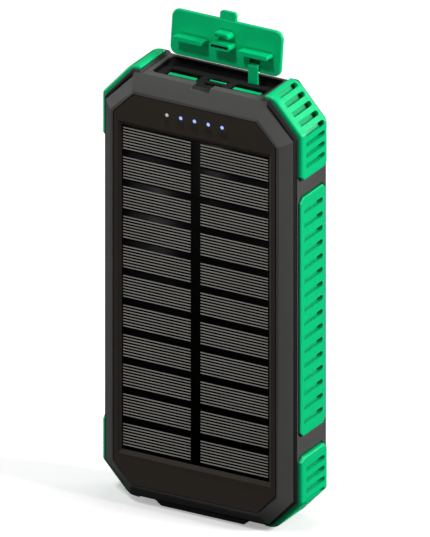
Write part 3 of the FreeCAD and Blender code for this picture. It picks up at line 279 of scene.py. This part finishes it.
# ---------------------------------------------------- finish of the CAD nodes
# node: (material, record slot, edge rounding in mm or 0)
NODE_FINISH = {
    "front_bezel": ("shell", "shell_plastic", 0.16),
    "seam_gasket": ("seam", "seam_rubber", 0.0),
    "front_panel": ("panel", "panel_plastic", 0.07),
    "charging_lens": ("white_lens", "lens_white", 0.05),
    "level_lenses": ("blue_lens", "lens_blue", 0.05),
    "solar_laminate": ("resin", "solar_resin", 0.0),
    "solar_cells": ("cell", "cell_silicon", 0.03),
    "rear_shell": ("shell", "shell_plastic", 0.16),
    "panel_carrier": ("inner", "inner_plastic", 0.0),
    "case_screws": ("steel", "screw_steel", 0.08),
    "top_plate": ("bay_rim", "shell_plastic", 0.25),
    "port_bay_floor": ("inner", "inner_plastic", 0.08),
    "usb_a_shells": ("port_steel", "port_steel", 0.06),
    "usb_a_tongue_left": ("port_green", "port_green", 0.08),
    "usb_a_tongue_right": ("port_green", "port_green", 0.08),
    "usb_c_shell": ("port_steel", "port_steel", 0.06),
    "usb_c_tongue": ("port_green", "port_green", 0.08),
    "micro_usb_shell": ("port_steel", "port_steel", 0.06),
    "micro_usb_tongue": ("inner", "inner_plastic", 0.05),
    "port_flap": ("green", "green_rubber", 0.22),
    "flap_pin": ("port_green", "pin_green", 0.0),
    "flap_tether": ("green", "green_rubber", 0.14),
    "bumper_top_right": ("green", "green_rubber", 0.10),
    "bumper_top_left": ("green", "green_rubber", 0.10),
    "bumper_bottom_right": ("green", "green_rubber", 0.10),
    "bumper_bottom_left": ("green", "green_rubber", 0.10),
    "right_grip": ("green", "green_rubber", 0.08),
    "left_grip": ("green", "green_rubber", 0.08),
    "power_button": ("button", "button_rubber", 0.12),
    "tact_switch": ("chip", "switch_plastic", 0.1),
    "switch_board": ("board", "circuit_board", 0.1),
    "main_board": ("board", "circuit_board", 0.1),
    "charge_board": ("board", "circuit_board", 0.1),
    "light_board": ("board", "circuit_board", 0.1),
    "indicator_leds": ("led", "led_plastic", 0.05),
    "board_chips": ("chip", "chip_plastic", 0.1),
    "battery_cell_front": ("pouch", "battery_foil", 0.4),
    "battery_cell_rear": ("pouch", "battery_foil", 0.4),
    "battery_tape": ("foam", "foam", 0.1),
    "rear_foam_pad": ("foam", "foam", 0.2),
    "battery_leads": ("wire", "wire_plastic", 0.0),
    "solar_leads": ("wire", "wire_plastic", 0.0),
    "bottom_foot": ("foot", "foot_plastic", 0.15),
}


def drop_attribute(mesh, name):
    attribute = mesh.attributes.get(name)
    if attribute:
        mesh.attributes.remove(attribute)


def add_edge_rounding(obj, width_mm):
    """Modifiers that join the CAD facets, round the sharp edges and even the shading."""
    weld = obj.modifiers.new("weld", "WELD")
    weld.merge_threshold = 1e-6
    if width_mm > 0:
        planar = obj.modifiers.new("planar", "DECIMATE")
        planar.decimate_type = "DISSOLVE"
        planar.angle_limit = math.radians(0.6)
        rounding = obj.modifiers.new("edge_round", "BEVEL")
        rounding.width = width_mm * MM
        rounding.segments = 3
        rounding.limit_method = "ANGLE"
        rounding.angle_limit = math.radians(28)
        rounding.use_clamp_overlap = True
        rounding.harden_normals = True
        rounding.miter_outer = "MITER_ARC"
        even = obj.modifiers.new("even_shading", "WEIGHTED_NORMAL")
        even.weight = 100
        even.keep_sharp = True


for node_name, (mat_key, slot_name, edge_mm) in NODE_FINISH.items():
    node = nodes[node_name]
    node.data.materials.clear()
    node.data.materials.append(mats[mat_key])
    drop_attribute(node.data, "custom_normal")
    node.data.polygons.foreach_set("use_smooth", [True] * len(node.data.polygons))
    drop_attribute(node.data, "sharp_edge")
    add_edge_rounding(node, edge_mm)
    if edge_mm == 0.0:
        node.data.set_sharp_from_angle(angle=math.radians(30))


# ------------------------------------------------------------ new fine pieces


def new_piece(name, material):
    mesh = bpy.data.meshes.new(name)
    obj = bpy.data.objects.new(name, mesh)
    bpy.context.scene.collection.objects.link(obj)
    mesh.materials.append(mats[material])
    return obj


def add_block(bm, low, high):
    """Box between two layout corners."""
    a, b = place(*low), place(*high)
    made = bmesh.ops.create_cube(bm, size=1.0)
    middle, size = (a + b) / 2, b - a
    for vert in made["verts"]:
        vert.co = Vector((vert.co.x * size.x, vert.co.y * size.y, vert.co.z * size.z)) + middle


def finish_piece(obj, bm, body, bevel_mm=0.0):
    bm.to_mesh(obj.data)
    bm.free()
    if bevel_mm:
        rounding = obj.modifiers.new("edge_round", "BEVEL")
        rounding.width = bevel_mm * MM
        rounding.segments = 2
        rounding.limit_method = "ANGLE"
    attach(obj, body)


# Silver fingers on every solar cell.
CELL_ROWS = 11
CELL_PITCH = 11.4
CELL_WIDTH = 27.5
CELL_GAP = 3.9
CELL_FRONT_Y = 0.9
FINGERS = 8
FINGER_PITCH = 1.13
FINGER_HEIGHT = 0.40
FINGER_PROUD = 0.04
FINGER_RISE = 0.33
FINGER_MARGIN = 0.05
fingers = new_piece("silver_fingers", "finger")
bm = bmesh.new()
for row in range(CELL_ROWS):
    row_z = (row - (CELL_ROWS - 1) / 2) * CELL_PITCH
    for side in (-1, 1):
        mid_x = side * (CELL_GAP + CELL_WIDTH) / 2
        for finger in range(FINGERS):
            z = row_z + FINGER_RISE + (finger - (FINGERS - 1) / 2) * FINGER_PITCH
            add_block(
                bm,
                (mid_x - CELL_WIDTH / 2 + FINGER_MARGIN, CELL_FRONT_Y - FINGER_PROUD, z - FINGER_HEIGHT / 2),
                (mid_x + CELL_WIDTH / 2 - FINGER_MARGIN, CELL_FRONT_Y, z + FINGER_HEIGHT / 2),
            )
finish_piece(fingers, bm, "housing")

# Level labels under the lights.
LIGHT_PITCH = 5.6
LIGHT_Z = 70.2
LABEL_PROUD = 0.004
LABEL_DROP = 3.1
LABEL_SIZE = 3.2
for index, label in enumerate(("0", "25", "50", "75", "100")):
    curve = bpy.data.curves.new("label_" + label, "FONT")
    curve.body = label
    curve.size = LABEL_SIZE * MM
    curve.align_x = "CENTER"
    curve.align_y = "CENTER"
    curve.extrude = LABEL_PROUD / 2 * MM
    text = bpy.data.objects.new("level_label_" + label, curve)
    bpy.context.scene.collection.objects.link(text)
    text.rotation_euler = (math.radians(90), 0, 0)
    text.location = place((index - 2) * LIGHT_PITCH, -LABEL_PROUD / 2, LIGHT_Z - LABEL_DROP)
    text.data.materials.append(mats["ink"])
    bpy.context.view_layer.update()
    mesh = bpy.data.meshes.new_from_object(text)
    mesh.transform(text.matrix_world)
    bpy.data.objects.remove(text)
    label_obj = bpy.data.objects.new("level_label_" + label, mesh)
    bpy.context.scene.collection.objects.link(label_obj)
    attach(label_obj, "housing")

# Gold contacts on the port tongues: layout heights, faces and places along X.
USB_A_X = 13.15
USB_A_CONTACT_XS = (-3.5, -1.0, 1.0, 3.5)
USB_A_CONTACT_Y = (15.60, 15.68)
USB_A_CONTACT_Z = (69.5, 78.4)
USB_A_CONTACT_HALF = 0.5
USB_C_CONTACTS = 12
USB_C_PITCH = 0.5
USB_C_CONTACT_YS = ((17.24, 17.28), (16.52, 16.56))
USB_C_CONTACT_Z = (74.0, 78.7)
USB_C_CONTACT_HALF = 0.13
contacts = new_piece("port_contacts", "gold")
bm = bmesh.new()


def add_contact(bm, x, half, span_y, span_z):
    add_block(bm, (x - half, span_y[0], span_z[0]), (x + half, span_y[1], span_z[1]))


for port_x in (-USB_A_X, USB_A_X):
    for offset in USB_A_CONTACT_XS:
        add_contact(bm, port_x + offset, USB_A_CONTACT_HALF, USB_A_CONTACT_Y, USB_A_CONTACT_Z)
for i in range(USB_C_CONTACTS):
    x = (i - (USB_C_CONTACTS - 1) / 2) * USB_C_PITCH
    for span_y in USB_C_CONTACT_YS:
        add_contact(bm, x, USB_C_CONTACT_HALF, span_y, USB_C_CONTACT_Z)
finish_piece(contacts, bm, "housing", 0.03)

# ------------------------------------------------------- stage, light, camera


def area_light(name, location, target, size, power, color=(1, 1, 1)):
    data = bpy.data.lights.new(name, "AREA")
    data.shape = "RECTANGLE"
    data.size, data.size_y = size
    data.energy = power
    data.color = color
    light = bpy.data.objects.new(name, data)
    bpy.context.scene.collection.objects.link(light)
    light.location = location
    direction = Vector(target) - Vector(location)
    light.rotation_mode = "QUATERNION"
    light.rotation_quaternion = direction.to_track_quat("-Z", "Y")
    return light


centre = (0.0, 0.0, 0.09)
area_light("key", (-0.10, -0.64, 1.08), centre, (0.16, 0.16), 5.1)
area_light("top_softbox", (0.05, 0.30, 1.20), centre, (0.5, 0.5), 2.0)
area_light("right_softbox", (1.05, 0.10, 0.66), centre, (0.4, 0.4), 13.2)
area_light("left_softbox", (-1.0, -0.22, 0.18), centre, (0.5, 0.5), 4.0)
area_light("rim_strip", (0.75, 0.95, 0.35), centre, (0.12, 0.9), 3.0)

world = bpy.data.worlds.new("studio")
bpy.context.scene.world = world
world.use_nodes = True
background = world.node_tree.nodes["Background"]
background.inputs["Color"].default_value = (1.0, 1.0, 1.0, 1.0)
background.inputs["Strength"].default_value = 0.16

floor_mesh = bpy.data.meshes.new("floor")
bm = bmesh.new()
bmesh.ops.create_grid(bm, x_segments=1, y_segments=1, size=8.0)
bm.to_mesh(floor_mesh)
bm.free()
floor = bpy.data.objects.new("floor", floor_mesh)
bpy.context.scene.collection.objects.link(floor)
# The paper looks pale to the camera but sends little light up under the object.
material, tree, shader = new_material("floor_paper")
paper = noise(tree, 900.0, 3.0, 0.6)
pale = mix_color(tree, remap(tree, paper, 0.3, 0.7, 0.0, 1.0), (0.93, 0.93, 0.93), (0.96, 0.96, 0.96))
rays = tree.nodes.new("ShaderNodeLightPath")
seen = mix_color(tree, rays.outputs["Is Camera Ray"], (0.05, 0.05, 0.05), pale)
tree.links.new(seen, shader.inputs["Base Color"])
tree.links.new(seen, shader.inputs["Emission Color"])
glow = remap(tree, rays.outputs["Is Camera Ray"], 0.0, 1.0, 0.0, 0.35)
tree.links.new(glow, shader.inputs["Emission Strength"])
shader.inputs["Roughness"].default_value = 0.9
shader.inputs["Specular IOR Level"].default_value = 0.0
floor.data.materials.append(material)

camera_data = bpy.data.cameras.new("camera")
camera = bpy.data.objects.new("camera", camera_data)
bpy.context.scene.collection.objects.link(camera)
VIEW_AZIMUTH, VIEW_ELEVATION = math.radians(29.73), math.radians(23.67)
CAMERA_SPAN, CAMERA_DISTANCE = 0.18927, 2.0
CAMERA_AIM = Vector((0.00095, 0.0, 0.0925))
camera_data.type = "ORTHO"
camera_data.ortho_scale = CAMERA_SPAN
camera_data.clip_start, camera_data.clip_end = 0.1, 30.0
back = Vector(
    (
        math.sin(VIEW_AZIMUTH) * math.cos(VIEW_ELEVATION),
        -math.cos(VIEW_AZIMUTH) * math.cos(VIEW_ELEVATION),
        math.sin(VIEW_ELEVATION),
    )
)
camera.location = CAMERA_AIM + back * CAMERA_DISTANCE
camera.rotation_mode = "QUATERNION"
camera.rotation_quaternion = (-back).to_track_quat("-Z", "Y")
bpy.context.scene.camera = camera
bpy.context.scene.view_settings.view_transform = "Standard"
bpy.context.scene.cycles.use_denoising = True
